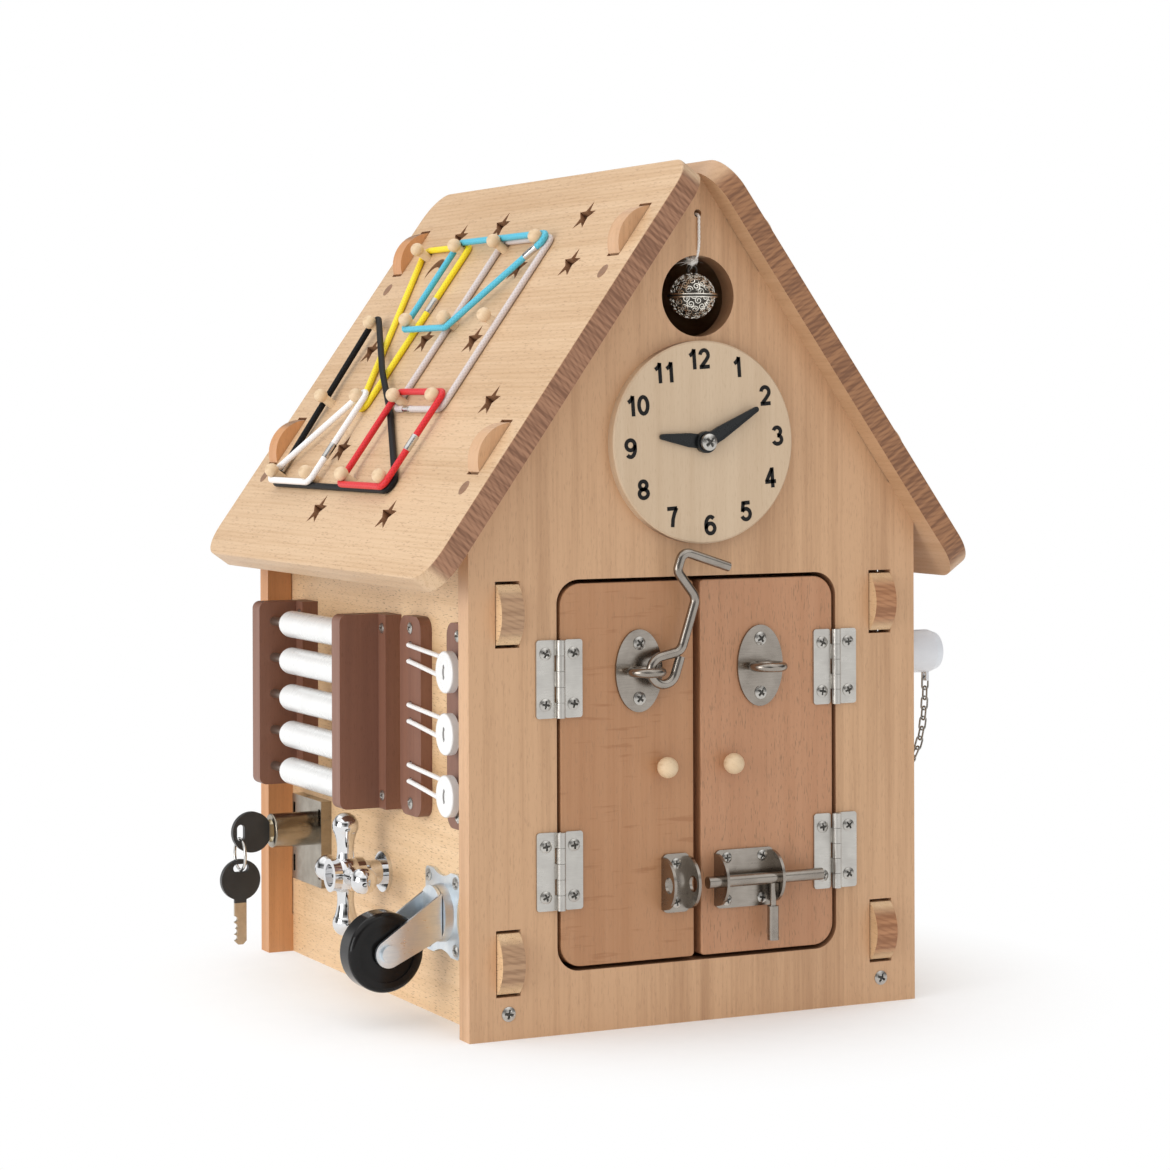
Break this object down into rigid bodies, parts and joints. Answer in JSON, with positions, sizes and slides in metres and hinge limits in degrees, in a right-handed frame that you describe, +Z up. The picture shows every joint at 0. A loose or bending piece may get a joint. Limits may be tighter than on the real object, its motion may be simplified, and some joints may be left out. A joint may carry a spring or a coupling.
{
  "type": "busy house",
  "caption": "Wooden play house with a pitched peg-board roof, hinged front doors and household latches, lock, tap, caster, rollers, clock and bell to work by hand.",
  "frame": {"origin": "middle of the front wall's foot face", "axes": "+X to the right seen from the front, +Y from the front wall to the back wall, +Z up"},
  "size_m": [0.3239, 0.3211, 0.4274],
  "materials": {
    "front_beech": "oiled beech, grain upright",
    "side_beech": "oiled beech with short flecks",
    "roof_beech": "pale oiled beech, grain along the ridge",
    "peg_wood": "smooth turned wood",
    "door_beech": "oiled beech, grain upright",
    "clock_birch": "pale birch",
    "brown_paint_wood": "brown painted wood",
    "dowel_wood": "plain dowel",
    "yellow_elastic": "woven elastic",
    "blue_elastic": "woven elastic",
    "red_elastic": "woven elastic",
    "black_elastic": "woven elastic",
    "white_elastic": "woven elastic",
    "pink_elastic": "woven elastic",
    "screw_steel": "bright zinc",
    "black_hand": "matt black",
    "satin_nickel": "satin nickel",
    "antique_silver": "antique silver",
    "white_cotton": "twisted cotton",
    "white_plastic": "glossy white",
    "lock_brass": "turned brass",
    "key_black": "black head on a brass-tan blade",
    "ring_steel": "bright wire",
    "bright_chrome": "polished chrome",
    "zinc_steel": "bluish zinc",
    "black_tread": "glossy black",
    "plug_plastic": "grey-white",
    "chain_steel": "bright steel"
  },
  "bodies": {
    "house": {"front_wall": "front_beech", "back_wall": "front_beech", "left_wall": "side_beech", "right_wall": "side_beech", "floor_board": "side_beech", "left_roof": "roof_beech", "right_roof": "roof_beech", "roof_pegs": "peg_wood", "yellow_band": "yellow_elastic", "blue_band": "blue_elastic", "red_band": "red_elastic", "black_band": "black_elastic", "white_band": "white_elastic", "pink_band": "pink_elastic", "clock_face": "clock_birch", "clock_pin": "screw_steel", "frame_leaves": "satin_nickel", "hinge_pins": "satin_nickel", "lock_case": "satin_nickel", "tap_stem": "bright_chrome", "caster_plate": "zinc_steel", "rack_boards": "brown_paint_wood", "rack_rods": "dowel_wood", "loop_strip": "brown_paint_wood", "button_strip": "brown_paint_wood", "buttons": "white_plastic", "button_loops": "white_elastic", "chain_eye": "chain_steel", "plug_chain": "chain_steel"},
    "left_leaf": {"left_door": "door_beech", "left_knob": "peg_wood", "left_door_leaves": "satin_nickel", "hook_eye": "satin_nickel", "bolt_keeper": "satin_nickel"},
    "hook": {"cabin_hook": "satin_nickel"},
    "right_leaf": {"right_door": "door_beech", "right_knob": "peg_wood", "right_door_leaves": "satin_nickel", "catch_eye": "satin_nickel", "bolt_body": "satin_nickel"},
    "bolt": {"bolt_rod": "satin_nickel"},
    "hour": {"hour_hand": "black_hand"},
    "minute": {"minute_hand": "black_hand"},
    "bell": {"bell_ball": "antique_silver", "bell_cord": "white_cotton"},
    "key": {"lock_core": "lock_brass", "lock_key": "key_black"},
    "spare": {"key_ring": "ring_steel", "spare_key": "key_black"},
    "tap": {"tap_handle": "bright_chrome"},
    "caster": {"caster_fork": "zinc_steel", "caster_axle": "zinc_steel"},
    "wheel": {"caster_wheel": "black_tread"},
    "bath_plug": {"plug": "plug_plastic"},
    "roller_body_1": {"roller_1": "white_plastic"},
    "roller_body_2": {"roller_2": "white_plastic"},
    "roller_body_3": {"roller_3": "white_plastic"},
    "roller_body_4": {"roller_4": "white_plastic"},
    "roller_body_5": {"roller_5": "white_plastic"}
  },
  "joints": [
    {"name": "left_door_open", "type": "hinge", "parent": "house", "child": "left_leaf", "pos_m": [-0.07735, -0.0085, 0.126], "axis": [0, 0, -1], "range_deg": [0, 110]},
    {"name": "right_door_open", "type": "hinge", "parent": "house", "child": "right_leaf", "pos_m": [0.07735, -0.0085, 0.126], "axis": [0, 0, 1], "range_deg": [0, 110]},
    {"name": "hook_swing", "type": "hinge", "parent": "left_leaf", "child": "hook", "pos_m": [-0.0266, -0.0154, 0.175], "axis": [0, -1, 0], "range_deg": [-72, 40]},
    {"name": "bolt_slide", "type": "slide", "parent": "right_leaf", "child": "bolt", "axis": [1, 0, 0], "range_m": [-0.024, 0]},
    {"name": "hour_hand_turn", "type": "hinge", "parent": "house", "child": "hour", "pos_m": [0, -0.013, 0.287], "axis": [0, 1, 0], "continuous": true},
    {"name": "minute_hand_turn", "type": "hinge", "parent": "house", "child": "minute", "pos_m": [0, -0.0146, 0.287], "axis": [0, 1, 0], "continuous": true},
    {"name": "bell_swing", "type": "hinge", "parent": "house", "child": "bell", "pos_m": [0, 0, 0.4004], "axis": [0, 1, 0], "range_deg": [-8, 8]},
    {"name": "key_turn", "type": "hinge", "parent": "house", "child": "key", "pos_m": [-0.1305, 0.228, 0.0743], "axis": [1, 0, 0], "range_deg": [0, 90]},
    {"name": "spare_key_swing", "type": "hinge", "parent": "key", "child": "spare", "pos_m": [-0.1569, 0.228, 0.071], "axis": [0, 1, 0], "range_deg": [-30, 30]},
    {"name": "tap_turn", "type": "hinge", "parent": "house", "child": "tap", "pos_m": [-0.1325, 0.135, 0.0627], "axis": [1, 0, 0], "continuous": true},
    {"name": "caster_swivel", "type": "hinge", "parent": "house", "child": "caster", "pos_m": [-0.12, 0.056, 0.053], "axis": [1, 0, 0], "continuous": true},
    {"name": "wheel_spin", "type": "hinge", "parent": "caster", "child": "wheel", "pos_m": [-0.145, 0.056, 0.0365], "axis": [0, 1, 0], "continuous": true},
    {"name": "plug_pull", "type": "slide", "parent": "house", "child": "bath_plug", "axis": [1, 0, 0], "range_m": [0, 0.011], "deforming": ["plug_chain"]},
    {"name": "roller_1_spin", "type": "hinge", "parent": "house", "child": "roller_body_1", "pos_m": [-0.1325, 0.184, 0.1082], "axis": [0, 1, 0], "continuous": true},
    {"name": "roller_2_spin", "type": "hinge", "parent": "house", "child": "roller_body_2", "pos_m": [-0.1325, 0.184, 0.128], "axis": [0, 1, 0], "continuous": true},
    {"name": "roller_3_spin", "type": "hinge", "parent": "house", "child": "roller_body_3", "pos_m": [-0.1325, 0.184, 0.1478], "axis": [0, 1, 0], "continuous": true},
    {"name": "roller_4_spin", "type": "hinge", "parent": "house", "child": "roller_body_4", "pos_m": [-0.1325, 0.184, 0.1676], "axis": [0, 1, 0], "continuous": true},
    {"name": "roller_5_spin", "type": "hinge", "parent": "house", "child": "roller_body_5", "pos_m": [-0.1325, 0.184, 0.1874], "axis": [0, 1, 0], "continuous": true}
  ]
}
